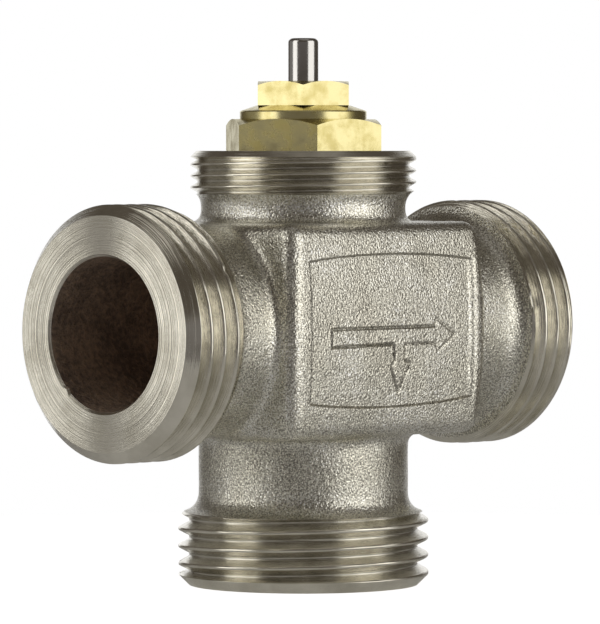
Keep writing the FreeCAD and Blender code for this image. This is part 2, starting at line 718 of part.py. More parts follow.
def make_discs():
    """The two discs, each a brass holder, a flat seal, a washer and what locks them on the spindle."""
    waist_bore = "(dim.spindle_waist_radius + dim.fit_gap)"
    tail_bore = "(dim.spindle_tail_radius + dim.fit_gap)"
    holder_height = "(dim.seal_pocket + dim.disc_web)"
    seal_pocket_radius = "(dim.seal_radius + dim.fit_gap)"
    turned_piece("upper_disc_holder", f"({UPPER_SEAL} + dim.seal_thickness - dim.seal_pocket)", [
        (waist_bore, "dim.seal_pocket"),
        (seal_pocket_radius, "dim.seal_pocket"),
        (seal_pocket_radius, "0"),
        ("dim.disc_radius", "0"),
        ("dim.disc_radius", holder_height),
        (waist_bore, holder_height),
    ])
    turned_piece("upper_disc_seal", UPPER_SEAL,
                 ring(waist_bore, "dim.seal_radius", "0", "dim.seal_thickness"))
    turned_piece("upper_disc_washer", f"({UPPER_SEAL} - dim.disc_washer_thickness)",
                 ring(waist_bore, "dim.disc_washer_radius", "0", "dim.disc_washer_thickness"))
    clip("upper_disc_clip", f"({UPPER_SEAL} - dim.disc_washer_thickness - dim.clip_thickness)",
         "dim.spindle_waist_radius")
    turned_piece("lower_disc_washer", LOWER_SEAL,
                 ring(tail_bore, "dim.disc_washer_radius", "0", "dim.disc_washer_thickness"))
    turned_piece("lower_disc_seal", f"({LOWER_SEAL} - dim.seal_thickness)",
                 ring(tail_bore, "dim.seal_radius", "0", "dim.seal_thickness"))
    turned_piece("lower_disc_holder", LOWER_HOLDER, [
        (tail_bore, "0"),
        ("dim.disc_radius", "0"),
        ("dim.disc_radius", holder_height),
        (seal_pocket_radius, holder_height),
        (seal_pocket_radius, "dim.disc_web"),
        (tail_bore, "dim.disc_web"),
    ])
    nut = new_body("lower_lock_nut", f"({LOWER_HOLDER} - dim.lock_nut_height)")
    hexagon_pad(nut, "lock_nut_hexagon", "dim.lock_nut_hex", "dim.gland_hex_turn", "0",
                "dim.lock_nut_height")
    chamfer_corners(nut, "lock_nut_chamfer", "dim.lock_nut_hex", "0", -1)
    revolve(nut, "lock_nut_bore", [
        ("0", "-dim.bead_height"),
        (tail_bore, "-dim.bead_height"),
        (tail_bore, "dim.lock_nut_height + dim.bead_height"),
        ("0", "dim.lock_nut_height + dim.bead_height"),
    ], kind="Groove")


make_valve_body()
make_bonnet()
make_gland()
make_bonnet_ring()
make_pin()
make_spindle()
make_spring_set()
make_discs()

PIECES = [
    "valve_body", "bonnet", "bonnet_o_ring", "gland_nut", "gland_o_ring", "gland_washer",
    "guide_bush", "guide_bush_clip", "return_spring", "push_pin", "spindle", "spring_cap",
    "spring_cap_clip", "upper_disc_holder", "upper_disc_seal", "upper_disc_washer",
    "upper_disc_clip", "lower_disc_washer", "lower_disc_seal", "lower_disc_holder",
    "lower_lock_nut",
]

doc.recompute()
for made in doc.Objects:
    if "Invalid" in made.State or "Error" in made.State:
        raise RuntimeError(f"{made.Label} did not compute: {made.State}")

os.makedirs("parts", exist_ok=True)
for name in PIECES:
    shape = doc.getObject(name).Shape
    if shape.isNull() or not shape.isValid() or len(shape.Solids) != 1:
        raise RuntimeError(f"{name} is not one sound solid")
    shape.exportStep(f"parts/{name}.step")
    print(f"{name}: {shape.Volume:.1f} mm3")
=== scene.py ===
# %% [markdown]
# # A three-way valve with a sprung stem
# The real valve is one brass casting, nickel-plated and shot-blasted, with turned threads on its
# three ports and on its head collar. A brass bonnet, a gland nut and a steel pin stand on top.
# The solids of the frame already hold every size, so this lesson only dresses them.
# Threads, the cast skin, the flow arrow and the finishes are what it adds.

# %% Load the frame
import bmesh
import bpy
import json
import math
from mathutils import Matrix, Vector


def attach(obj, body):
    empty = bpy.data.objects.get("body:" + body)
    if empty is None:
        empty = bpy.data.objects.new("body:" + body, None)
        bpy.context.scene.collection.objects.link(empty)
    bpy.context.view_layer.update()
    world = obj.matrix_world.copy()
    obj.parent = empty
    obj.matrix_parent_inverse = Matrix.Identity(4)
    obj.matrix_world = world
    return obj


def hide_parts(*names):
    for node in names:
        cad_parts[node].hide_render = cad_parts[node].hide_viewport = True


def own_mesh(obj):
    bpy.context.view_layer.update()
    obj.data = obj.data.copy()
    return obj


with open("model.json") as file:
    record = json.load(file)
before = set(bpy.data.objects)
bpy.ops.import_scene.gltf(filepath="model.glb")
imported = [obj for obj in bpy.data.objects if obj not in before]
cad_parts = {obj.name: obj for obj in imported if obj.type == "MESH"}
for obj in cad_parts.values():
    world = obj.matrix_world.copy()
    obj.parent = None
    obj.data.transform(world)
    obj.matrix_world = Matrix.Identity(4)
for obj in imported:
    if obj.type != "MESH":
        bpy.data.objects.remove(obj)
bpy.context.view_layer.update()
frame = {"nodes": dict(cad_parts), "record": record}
MM = 0.001

# %% [markdown]
# ## Where things are
# The stem axis is Z and the port axis runs along X, at AXIS above the bottom port's face. Both
# cross in CENTRE, and pieces are drawn in millimetres from there. These sizes repeat what the
# casting has, so every piece below is worked out from them and meets the frame with no fitting.

# %% The valve's own sizes
AXIS = 34.1
RUN = 36.5
COLLAR_RISE = 23.4
BLOCK = Vector((18.8, 16.5, 14.0))
CROWN = 1.0
BORE = 10.0
CENTRE = Vector((0, 0, AXIS)) * MM

# %% [markdown]
# ## The camera
# The photograph was taken with a long lens from the left front, just above the port axis.
# Its place was found by fitting the known sizes, so the aim is given as the pixel where the
# stem axis and the port axis cross.

# %% Camera
IMAGE = Vector((600, 624))
CROSSING_PIXEL = Vector((303.27, 327.24))
FOCAL_PIXELS = 5085.9
CAMERA_DISTANCE = 674.8
CAMERA_AZIMUTH = math.radians(-45.49)
CAMERA_ELEVATION = math.radians(2.08)
SENSOR = 36.0

camera = bpy.data.objects.new("camera", bpy.data.cameras.new("camera"))
bpy.context.scene.collection.objects.link(camera)
bpy.context.scene.camera = camera
long_side = max(IMAGE)
camera.data.sensor_width = SENSOR
camera.data.lens = FOCAL_PIXELS / long_side * SENSOR
camera.data.shift_x = (IMAGE.x / 2 - CROSSING_PIXEL.x) / long_side
camera.data.shift_y = (CROSSING_PIXEL.y - IMAGE.y / 2) / long_side
back = Vector((math.sin(CAMERA_AZIMUTH) * math.cos(CAMERA_ELEVATION),
               -math.cos(CAMERA_AZIMUTH) * math.cos(CAMERA_ELEVATION),
               math.sin(CAMERA_ELEVATION)))
camera.location = CENTRE + back * CAMERA_DISTANCE * MM
camera.rotation_mode = "QUATERNION"
camera.rotation_quaternion = (-back).to_track_quat("-Z", "Y")
camera.data.clip_start = 0.05
camera.data.clip_end = 50
print("lens", round(camera.data.lens, 1), "mm, shift", round(camera.data.shift_x, 4),
      round(camera.data.shift_y, 4))

# %% [markdown]
# ## Shader sums in plain Python
# A finish is easier to read as a sum than as a drawing of nodes. This small class wraps a socket
# and turns +, -, * and ** into Math nodes. One method adds any other node.

# %% Sockets that can be added and multiplied


class Wire:
    """A socket of a network, with arithmetic."""

    def __init__(self, network, socket):
        self.network = network
        self.socket = socket

    def maths(self, operation, first, second=0.0):
        return self.network.node("ShaderNodeMath", {"operation": operation}, {0: first, 1: second})

    def __add__(self, other):
        return self.maths("ADD", self, other)

    def __radd__(self, other):
        return self.maths("ADD", other, self)

    def __sub__(self, other):
        return self.maths("SUBTRACT", self, other)

    def __rsub__(self, other):
        return self.maths("SUBTRACT", other, self)

    def __mul__(self, other):
        return self.maths("MULTIPLY", self, other)

    def __rmul__(self, other):
        return self.maths("MULTIPLY", other, self)

    def __pow__(self, other):
        return self.maths("POWER", self, other)


class Network:
    """A tree of nodes that are added one call at a time."""

    def __init__(self, tree):
        self.tree = tree

    def node(self, kind, settings=None, sockets=None, output=0):
        made = self.tree.nodes.new(kind)
        for key, value in (settings or {}).items():
            setattr(made, key, value)
        for key, value in (sockets or {}).items():
            self.feed(made.inputs[key], value)
        return Wire(self, made.outputs[output])

    def feed(self, socket, value):
        if isinstance(value, Wire):
            self.tree.links.new(value.socket, socket)
        else:
            socket.default_value = value

    def others(self, wire, *names):
        """More outputs of the node that a wire comes from."""
        outputs = wire.socket.node.outputs
        return [Wire(self, outputs[name]) for name in names]

    def noise(self, vector, scale, detail=2.0, roughness=0.5, distortion=0.0):
        return self.node("ShaderNodeTexNoise", sockets={
            "Vector": vector, "Scale": scale, "Detail": detail,
            "Roughness": roughness, "Distortion": distortion})

    def ramp(self, value, low, high, to_low=0.0, to_high=1.0, kind="LINEAR"):
        return self.node("ShaderNodeMapRange", {"clamp": True, "interpolation_type": kind}, {
            "Value": value, "From Min": low, "From Max": high,
            "To Min": to_low, "To Max": to_high})

    def blend(self, factor, first, second):
        return self.node("ShaderNodeMix", {"data_type": "RGBA"},
                         {"Factor": factor, 6: first, 7: second}, output=2)

    def scaled(self, colour, factor):
        return self.node("ShaderNodeVectorMath", {"operation": "SCALE"},
                         {0: colour, "Scale": factor})

    def bump(self, height, depth, strength=1.0):
        return self.node("ShaderNodeBump", sockets={
            "Height": height, "Distance": depth, "Strength": strength})


class Finish(Network):
    """A material and its network."""

    def __init__(self, name, **constants):
        self.material = bpy.data.materials.new(name)
        self.material.use_nodes = True
        super().__init__(self.material.node_tree)
        self.surface = self.tree.nodes["Principled BSDF"]
        self.give(**constants)

    def give(self, **inputs):
        for socket, value in inputs.items():
            self.feed(self.surface.inputs[socket.replace("_", " ")], value)

    def place(self):
        """Object coordinates in millimetres from the crossing of the axes."""
        place = self.node("ShaderNodeTexCoord", output="Object")
        shifted = self.node("ShaderNodeVectorMath", {"operation": "SUBTRACT"}, {
            0: place, 1: tuple(CENTRE)})
        return self.node("ShaderNodeVectorMath", {"operation": "SCALE"}, {
            0: shifted, "Scale": 1 / MM})

    def parts(self, vector):
        split = self.node("ShaderNodeSeparateXYZ", sockets={0: vector})
        return self.others(split, "X", "Y", "Z")

# %% [markdown]
# ## Turned pieces
# Threads, nuts and pins all come off a lathe, so one helper spins a closed outline round Z.
# Corners of a real turned piece are never quite sharp, so one more helper eases the corners of an
# outline: that thin line of light is what makes metal look like metal.

# %% Turning on the lathe
PORTS_UP = Matrix.Identity(4)
PORTS_DOWN = Matrix.Rotation(math.pi, 4, "X")
PORTS_LEFT = Matrix.Rotation(-math.pi / 2, 4, "Y")
PORTS_RIGHT = Matrix.Rotation(math.pi / 2, 4, "Y")
TO_FRAME = Matrix.Translation(CENTRE) @ Matrix.Scale(MM, 4)
SHARP = math.radians(32)


def eased(outline, ease):
    """The closed outline with each corner replaced by a short curve of three points."""
    rounded = []
    for index, corner in enumerate(outline):
        corner = Vector(corner)
        before = Vector(outline[index - 1]) - corner
        after = Vector(outline[(index + 1) % len(outline)]) - corner
        start = corner + before.normalized() * min(ease, before.length / 3)
        end = corner + after.normalized() * min(ease, after.length / 3)
        rounded += [start, corner / 2 + (start + end) / 4, end]
    return [tuple(point) for point in rounded]


def turned(outline, steps):
    """Spin a closed outline of (radius, height) points one full turn round Z."""
    bm = bmesh.new()
    corners = [bm.verts.new((radius, 0, height)) for radius, height in outline]
    sides = [bm.edges.new((corners[i - 1], corner)) for i, corner in enumerate(corners)]
    bmesh.ops.spin(bm, geom=corners + sides, cent=(0, 0, 0), axis=(0, 0, 1), dvec=(0, 0, 0),
                   angle=math.tau, steps=steps, use_merge=True)
    bmesh.ops.remove_doubles(bm, verts=bm.verts, dist=0.0005)
    bmesh.ops.recalc_face_normals(bm, faces=bm.faces)
    return bm


def piece_from(bm, name, body, finishes, turn=PORTS_UP):
    """Shade a bmesh in millimetres, put it in the frame and let it ride on its body."""
    bmesh.ops.transform(bm, matrix=TO_FRAME @ turn, verts=bm.verts)
    for face in bm.faces:
        face.smooth = True
    for edge in bm.edges:
        edge.smooth = len(edge.link_faces) == 2 and edge.calc_face_angle(0) < SHARP
    mesh = bpy.data.meshes.new(name)
    bm.to_mesh(mesh)
    bm.free()
    piece = bpy.data.objects.new(name, mesh)
    bpy.context.scene.collection.objects.link(piece)
    for finish in finishes:
        mesh.materials.append(finish.material)
    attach(piece, body)
    print(name, len(mesh.polygons), "faces")
    return piece


# %% [markdown]
# ## Finishes
# The casting is plated with nickel and blasted with shot: it is warm grey and every little
# crater catches the light, so its grain is a bump of fine noise, and its tone varies with it.
# Shade is painted into the roots of the threads, the lines of the arrow and the walls of the
# panel, with painted highlights on the panel's right wall, and painted light makes the upper neck
# brighter.
# The threads are cut after plating and are smoother, with fine turning lines round their axis.
# Brass is left bare, and the pin is ground and polished.

# %% Finishes of the casting
DARK_NICKEL = (0.66, 0.635, 0.555, 1)
WARM_NICKEL = (0.80, 0.775, 0.69, 1)
CUT_NICKEL = (0.88, 0.85, 0.755, 1)
DULL_CUT = (0.68, 0.65, 0.56, 1)
CORE_BROWN = (0.62, 0.48, 0.37, 1)
CORE_BLACK = (0.26, 0.20, 0.165, 1)
# painted light on the upper neck: where it starts and how much brighter it is made
NECK_FOOT = 14.0
NECK_PAINTED_LIGHT = 1.25
CRATER_SCALE = 3.6
SPECK_SCALE = 5.2
CLOUD_SCALE = 0.14
CRATER_DEPTH = 0.00011
TURNING_SCALE = 6.0
TURNING_DEPTH = 0.00006
# strengths of the painted shade in the thread roots and along the arrow's lines and the panel's
# walls
ROOT_SHADE = 0.2
GROOVE_SHADE = 0.6
LUMP_DEPTH = 0.0004
PAINTED_SHADING_LAYER = "painted_shading"


def blasted_nickel():
    """Nickel plate over a shot-blasted casting."""
    finish = Finish("blasted_nickel", Metallic=1.0)
    place = finish.place()
    craters = finish.noise(place, CRATER_SCALE, detail=1.0)
    specks = finish.noise(place, SPECK_SCALE, detail=1.0)
    cloud = finish.noise(place, CLOUD_SCALE, detail=3)
    painted_shading = finish.node("ShaderNodeAttribute", {"attribute_name": PAINTED_SHADING_LAYER}, output="Fac")
    plate = finish.blend(finish.ramp(cloud, 0.35, 0.65), DARK_NICKEL, WARM_NICKEL)
    # painted light: the upper neck is made brighter
    painted_neck_light = finish.ramp(finish.parts(place)[2], NECK_FOOT, NECK_FOOT + 2, 1.0, NECK_PAINTED_LIGHT)
    # painted shade: the attribute darkens the tone along the arrow's lines and the panel's walls,
    # and where it is negative paints highlights
    tone = finish.ramp(specks, 0.36, 0.64, 0.45, 1.5) * (1.0 - painted_shading * GROOVE_SHADE) * painted_neck_light
    finish.give(
        Base_Color=finish.scaled(plate, tone),
        Roughness=finish.ramp(craters, 0.3, 0.7, 0.24, 0.38),
        Normal=finish.bump(craters, CRATER_DEPTH))
    return finish


def cut_nickel(name, along):
    """Machined metal with turning lines round the axis that 'along' picks: 0 for X, 2 for Z."""
    finish = Finish(name, Metallic=1.0)
    place = finish.place()
    parts = finish.parts(place)
    level = parts.pop(along)
    radius = (parts[0] * parts[0] + parts[1] * parts[1]) ** 0.5
    rings = finish.node("ShaderNodeCombineXYZ", sockets={0: level, 1: radius, 2: 0.0})
    lines = finish.noise(rings, TURNING_SCALE, detail=3, roughness=0.65)
    smear = finish.noise(place, 0.26, detail=3)
    painted_shading = finish.node("ShaderNodeAttribute", {"attribute_name": PAINTED_SHADING_LAYER}, output="Fac")
    metal = finish.blend(finish.ramp(smear, 0.35, 0.7), CUT_NICKEL, DULL_CUT)
    finish.give(
        # painted shade: the colour is darker towards the roots of the threads
        Base_Color=finish.scaled(metal, 1.0 - painted_shading * ROOT_SHADE),
        Roughness=finish.ramp(lines + smear, 0.7, 1.3, 0.08, 0.19),
        Normal=finish.bump(lines, TURNING_DEPTH))
    return finish


def cored_bore():
    """The bore as the sand core left it: brown, rough and dark."""
    finish = Finish("cored_bore", Metallic=0.4, Roughness=0.6)
    place = finish.place()
    lumps = finish.noise(place, 1.4, detail=4, roughness=0.65)
    cloud = finish.noise(place, 0.16, detail=2)
    finish.give(
        Base_Color=finish.blend(finish.ramp(lumps * 0.6 + cloud * 0.4, 0.4, 0.62),
                                CORE_BLACK, CORE_BROWN),
        Normal=finish.bump(lumps, LUMP_DEPTH))
    return finish


BLASTED = blasted_nickel()
CUT_ALONG_X = cut_nickel("cut_nickel_run", 0)
CUT_ALONG_Z = cut_nickel("cut_nickel_stem", 2)
CORED = cored_bore()

# %% Finishes of brass, steel and rubber
YELLOW_BRASS = (0.76, 0.68, 0.36, 1)
DULL_BRASS = (0.62, 0.53, 0.22, 1)


def bare_brass(name, first, second, rough):
    """Bare brass off the lathe, a little duller where it was handled."""
    finish = Finish(name, Metallic=1.0)
    place = finish.place()
    cloud = finish.noise(place, 0.42, detail=4, roughness=0.6)
    level = finish.parts(place)[2]
    scored = finish.node("ShaderNodeCombineXYZ", sockets={0: level, 1: 0.0, 2: 0.0})
    lines = finish.noise(scored, TURNING_SCALE, detail=2)
    finish.give(
        Base_Color=finish.blend(finish.ramp(cloud, 0.42, 0.66), first, second),
        Roughness=finish.ramp(cloud, 0.3, 0.7, rough - 0.06, rough + 0.08),
        Normal=finish.bump(lines * 0.5 + cloud, 0.00002, 0.5))
    return finish


def ground_steel(name, colour, rough):
    """Steel with a fine drawn or ground surface."""
    finish = Finish(name, Metallic=1.0, Base_Color=colour)
    cloud = finish.noise(finish.place(), 0.5, detail=3)
    finish.give(Roughness=finish.ramp(cloud, 0.3, 0.7, rough - 0.04, rough + 0.05),
                Normal=finish.bump(cloud, 0.00001, 0.3))
    return finish


def moulded_rubber():
    """Black rubber with the faint bloom that moulded rings have."""
    finish = Finish("moulded_rubber", Roughness=0.6)
    cloud = finish.noise(finish.place(), 0.3, detail=3)
    finish.give(Base_Color=finish.blend(finish.ramp(cloud, 0.4, 0.7), (0.012, 0.012, 0.013, 1),
                                        (0.035, 0.034, 0.033, 1)))
    return finish


BRASS = bare_brass("bare_brass", YELLOW_BRASS, DULL_BRASS, 0.24)
PIN_STEEL = ground_steel("polished_pin", (0.62, 0.61, 0.60, 1), 0.16)
WIRE_STEEL = ground_steel("drawn_wire", (0.42, 0.42, 0.43, 1), 0.32)
RUBBER = moulded_rubber()

# %% [markdown]
# ## The three port threads and the head collar
# On the real valve these are cut with a single point on the cast arms. A spun tube whose rings
# lie close together is moved in or out by the thread's own formula, so crests wind round the
# axis as a right-handed screw does. Crests and roots are round, as the pipe thread's standard
# has them, and each crest then shows a dark and a bright line side by side. The end chamfer and
# the run-out limit how far the crests stand.

# %% Threads
PORT_THREAD = {"crest": 16.62, "depth": 1.479, "pitch": 2.309, "slope": 1.921, "nose": 0.317,
               "length": 9.7, "chamfer": 1.4, "runout": 0.7, "shoulder": 15.8}
COLLAR_THREAD = {"crest": 15.0, "depth": 0.92, "pitch": 1.5, "slope": 1.732, "nose": 0.19,
                 "length": 5.7, "chamfer": 0.8, "runout": 0.6, "shoulder": 14.2}
RIGHT_THREAD = {**PORT_THREAD, "length": 8.7}
MOUTH = 0.3
TUCK = 0.6
LEAD = 0.4


def thread_height(thread, from_crest):
    """Height above the root: a round crest, a straight flank and a round root."""
    nose, slope = thread["nose"], thread["slope"]
    bend = nose * slope / math.hypot(1, slope)
    from_root = thread["pitch"] / 2 - from_crest
    if from_crest < bend:
        return thread["depth"] - nose + math.sqrt(nose ** 2 - from_crest ** 2)
    if from_root < bend:
        return nose - math.sqrt(nose ** 2 - from_root ** 2)
    return thread["depth"] / 2 + slope * (thread["pitch"] / 4 - from_crest)


def surface_radius(thread, reach, out, turn_share, first_crest):
    """Radius of the cut surface at a distance out along the axis and a share of a turn."""
    pitch = thread["pitch"]
    along = out - first_crest - pitch * turn_share
    from_crest = abs((along + pitch / 2) % pitch - pitch / 2)
    sunk = thread["depth"] - thread_height(thread, from_crest)
    cut = thread["crest"] - sunk * min(max((reach - thread["chamfer"] - out) / LEAD, 0), 1)
    start = reach - thread["length"]
    rise = (thread["crest"] - thread["shoulder"]) / thread["runout"]
    return min(cut, thread["crest"], thread["shoulder"] + (out - start) * rise,
               thread["crest"] - thread["chamfer"] + reach - out)


def threaded_end(thread, reach, bore, mouth, first_crest, rings, steps):
    """One end of the casting from its shoulder out: thread, chamfer, face and bore."""
    start = reach - thread["length"]
    face = thread["crest"] - thread["chamfer"]
    inside = thread["crest"] - thread["depth"] - TUCK
    climb = [(thread["crest"], start + thread["length"] * step / rings) for step in range(rings)]
    lands = [(face - (face - bore - mouth) * share, reach) for share in (0.02, 0.3, 0.6, 0.98)]
    outline = [(bore, start - TUCK), (inside, start - TUCK), (inside, start)]
    outline += climb + [(face, reach)] + lands
    outline += [(bore + mouth, reach), (bore, reach - mouth)]
    bm = turned(outline, steps)
    painted_shading = bm.verts.layers.float.new(PAINTED_SHADING_LAYER)
    for vert in bm.verts:
        out = vert.co.z
        radius = vert.co.xy.length
        if radius > face - 0.01 and out > start - 0.01:
            share = math.atan2(vert.co.y, vert.co.x) / math.tau
            cut = surface_radius(thread, reach, out, share, first_crest)
            vert.co.xy *= cut / radius
            if out < reach - thread["chamfer"]:
                # painted shade, stronger the deeper the surface lies below the crest
                vert[painted_shading] = ((thread["crest"] - cut) / thread["depth"]) ** 2
    return bm


def line_bore(bm, bore):
    """Give the wall of the bore the second finish."""
    for face in bm.faces:
        if all(vert.co.xy.length < bore + 0.01 for vert in face.verts):
            face.material_index = 1


def knock(bm, turn, place, reach, depth):
    """A small knock: what lies near the place is pushed in towards the axis."""
    spot = turn.inverted() @ Vector(place)
    for vert in bm.verts:
        gap = (vert.co - spot).length
        if gap < reach:
            vert.co.xy *= 1 - depth * (1 - (gap / reach) ** 2) / max(vert.co.xy.length, depth)


PORT_KNOCKS = {
    "left_port_end": [((-36.0, 13.5, -8.6), 0.9, 0.5), ((-28.5, -14.4, 8.2), 0.5, 0.25),
                      ((-36.5, 7.0, -7.4), 0.7, 0.4)],
    "right_port_end": [((30.0, -1.0, 16.5), 0.9, 0.5), ((31.0, 1.5, 16.5), 0.7, 0.5),
                       ((28.3, -16.0, 3.2), 1.0, 0.6)],
    "bottom_port_end": [((-11.6, 11.8, -30.9), 1.6, 0.5), ((-11.4, 11.9, -32.6), 0.9, 0.5),
                        ((-9.8, 13.4, -30.8), 1.0, 0.5)],
    "head_collar_end": [((-10.7, 10.4, 18.6), 0.6, 0.3)],
}
ENDS = [
    ("left_port_end", PORT_THREAD, RUN, PORTS_LEFT, CUT_ALONG_X, BORE, 24.4),
    ("right_port_end", RIGHT_THREAD, RUN, PORTS_RIGHT, CUT_ALONG_X, BORE, 23.6),
    ("bottom_port_end", PORT_THREAD, AXIS, PORTS_DOWN, CUT_ALONG_Z, BORE, 25.2),
    ("head_collar_end", COLLAR_THREAD, COLLAR_RISE, PORTS_UP, CUT_ALONG_Z, 9.0, 18.0),
]
THREAD_RINGS = 240
THREAD_STEPS = 192
for name, thread, reach, turn, finish, bore, first_crest in ENDS:
    bm = threaded_end(thread, reach, bore, MOUTH, first_crest, THREAD_RINGS, THREAD_STEPS)
    for place, size, depth in PORT_KNOCKS[name]:
        knock(bm, turn, place, size, depth)
    line_bore(bm, bore)
    piece = piece_from(bm, name, "housing", [finish, CORED], turn)
    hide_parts("valve_body")

# %% [markdown]
# ## The cast skin
# A sand casting has no hard edges and no truly flat faces. The solid of the frame gives its
# exact form, so a copy of it is remeshed in small voxels and smoothed a little, which softens
# every edge as sand and shot do. The machined ends are cut off, because the pieces above stand
# there, and what is left falls into two shells: the skin outside and the waterways inside.
# On the right arm the cast shoulder reaches a millimetre further than on the left one, and the
# corners of the block are rounded like the pattern's.

# %% Remesh the casting
from mathutils import noise

VOXEL = 0.36
CUT_BACK = 0.35
SKIN_PASSES = 5
STRETCH_FROM = 19.5
CORNER_ROUND = 3.5
CORNER_FROM = 9.0
CORNER_FULL = 13.0
CORNER_SIDE = 18.9
CORNER_END = 19.8
ARMS = [("x", -1, RUN, PORT_THREAD), ("x", 1, RUN, RIGHT_THREAD),
        ("z", -1, AXIS, PORT_THREAD), ("z", 1, COLLAR_RISE, COLLAR_THREAD)]


def outwards(place, letter, sign):
    """How far a place lies out along an arm, and how far from the arm's axis."""
    out = sign * getattr(place, letter)
    other = place.z if letter == "x" else place.x
    return out, math.hypot(place.y, other)


blank = bmesh.new()
blank.from_mesh(frame["nodes"]["valve_body"].data)
bmesh.ops.remove_doubles(blank, verts=blank.verts, dist=1e-6)
bmesh.ops.transform(blank, matrix=TO_FRAME.inverted(), verts=blank.verts)
blank_mesh = bpy.data.meshes.new("casting_blank")
blank.to_mesh(blank_mesh)
blank.free()
blank_object = bpy.data.objects.new("casting_blank", blank_mesh)
bpy.context.scene.collection.objects.link(blank_object)
remesh = blank_object.modifiers.new("voxels", "REMESH")
remesh.mode = "VOXEL"
remesh.voxel_size = VOXEL
bpy.context.view_layer.update()
voxels = blank_object.evaluated_get(bpy.context.evaluated_depsgraph_get())
casting = bmesh.new()
casting.from_mesh(voxels.data)
bpy.data.objects.remove(blank_object)
bpy.data.meshes.remove(blank_mesh)
solid_end, cut_end = [RUN - thread["length"] - CUT_BACK for thread in (PORT_THREAD, RIGHT_THREAD)]
for vert in casting.verts:
    if vert.co.x > STRETCH_FROM:
        beyond = (vert.co.x - STRETCH_FROM) / (solid_end - STRETCH_FROM)
        vert.co.x = STRETCH_FROM + beyond * (cut_end - STRETCH_FROM)
print("voxel casting:", len(casting.faces), "faces")

for letter, sign, reach, thread in ARMS:
    normal = Vector((sign, 0, 0)) if letter == "x" else Vector((0, 0, sign))
    level = reach - thread["length"] - CUT_BACK
    bmesh.ops.bisect_plane(casting, geom=casting.verts[:] + casting.edges[:] + casting.faces[:],
                           dist=0.001, plane_co=normal * level, plane_no=normal,
                           clear_outer=True)


def shell_of(bm, seed):
    """All vertices that hang together with one of them."""
    found = {seed}
    queue = [seed]
    while queue:
        for edge in queue.pop().link_edges:
            for vert in edge.verts:
                if vert not in found:
                    found.add(vert)
                    queue.append(vert)
    return found


def only(bm, wanted):
    """A copy of the bmesh that keeps only the wanted vertices."""
    for vert in bm.verts:
        vert.tag = vert in wanted
    kept = bm.copy()
    bmesh.ops.delete(kept, geom=[vert for vert in kept.verts if not vert.tag], context="VERTS")
    return kept


front = min(casting.verts, key=lambda vert: vert.co.y)
outer = shell_of(casting, front)
skin = only(casting, outer)
inner = only(casting, set(casting.verts) - outer)
casting.free()
for vert in skin.verts:
    aside, off, up = (abs(value) for value in vert.co)
    corner = Vector((aside - BLOCK.x + CORNER_ROUND, up - BLOCK.z + CORNER_ROUND))
    if min(corner) > 0 and corner.length > CORNER_ROUND:
        near_face = (off - CORNER_FROM) / (CORNER_FULL - CORNER_FROM)
        near_side = (CORNER_END - aside) / (CORNER_END - CORNER_SIDE)
        share = min(max(near_face, 0), max(near_side, 0), 1)
        pulled = corner * (CORNER_ROUND / corner.length - 1) * share
        vert.co.x += math.copysign(pulled.x, vert.co.x)
        vert.co.z += math.copysign(pulled.y, vert.co.z)
for _ in range(SKIN_PASSES):
    for shell in (skin, inner):
        free = [vert for vert in shell.verts if not vert.is_boundary]
        bmesh.ops.smooth_vert(shell, verts=free, factor=0.5, use_axis_x=True,
                              use_axis_y=True, use_axis_z=True)
print("skin", len(skin.faces), "faces, waterways", len(inner.faces), "faces")

# %% [markdown]
# ## The sunk panel and the flow arrow
# The pattern maker let a barrel-shaped panel into the front, and an outlined arrow that shows
# how the flow is split. The skin is divided finely along those lines only, and its vertices are
# pressed in by a smooth step, so the edges stay as soft as the casting. The panel's right wall
# is a long slope, and its other walls are short. Front and back also swell a little in the middle.
# Shade is painted into the arrow's lines and along the panel's walls, and highlights onto the
# shoulders of its right wall.

# %% Press the panel and the arrow into the skin
PANEL_LEFT = -14.9
PANEL_RIGHT = 15.65
PANEL_MIDDLE = 10.0
PANEL_SWELL = 0.9
PANEL_DEPTH = 0.45
SHORT_EDGE = 0.4
LONG_EDGE = 1.4
# painted shade and light on the panel: painted shade on the walls' upper and lower halves, width
# and strength of a painted shade line at the left edge, and strength of the painted dark line and
# highlights on the right wall
UPPER_WALL_SHADE = 0.5
LOWER_WALL_SHADE = 0.25
LEFT_LINE = 0.45
LEFT_SHADE = 1.3
RIGHT_WALL_PAINTED_LIGHT = 0.7
LINE_WIDTH = 0.29
LINE_DEPTH = 0.26
FINE_REACH = 0.75
FRONT_REACH = Vector((16.6, 13, 11.6))
PLAN_FALL = 0.1
ARROW = [(-10.95, 0.38, 0.9), (8.5, 0.35, 0.5), (8.7, 1.4, 0.5), (12.5, -0.8, 0.4),
         (9.0, -2.95, 0.4), (8.7, -1.83, 0.6), (2.8, -1.9, 0.5), (2.85, -4.07, 0.6),
         (3.8, -4.23, 0.8), (1.7, -8.03, 1), (0.2, -4.84, 0.4), (0.85, -4.0, 1),
         (0.6, -1.8, 0.9), (-10.95, -1.97, 1)]
ARROW_LINES = [(Vector(a[:2]), Vector(b[:2]), a[2]) for a, b in zip(ARROW, ARROW[1:] + ARROW[:1])]
CROWN_RADIUS = (BLOCK.z ** 2 + CROWN ** 2) / 2 / CROWN
BARREL_RADIUS = (PANEL_RIGHT ** 2 + PANEL_SWELL ** 2) / 2 / PANEL_SWELL


def smooth_step(share):
    share = min(max(share, 0), 1)
    return share * share * (3 - 2 * share)


def panel_sides(place):
    """Distances in from the panel's left, right and nearer long side, each with its edge."""
    top = PANEL_MIDDLE - BARREL_RADIUS + math.sqrt(BARREL_RADIUS ** 2 - place.x ** 2)
    return [(place.x - PANEL_LEFT, SHORT_EDGE), (PANEL_RIGHT - place.x, LONG_EDGE),
            (top - abs(place.z), SHORT_EDGE)]


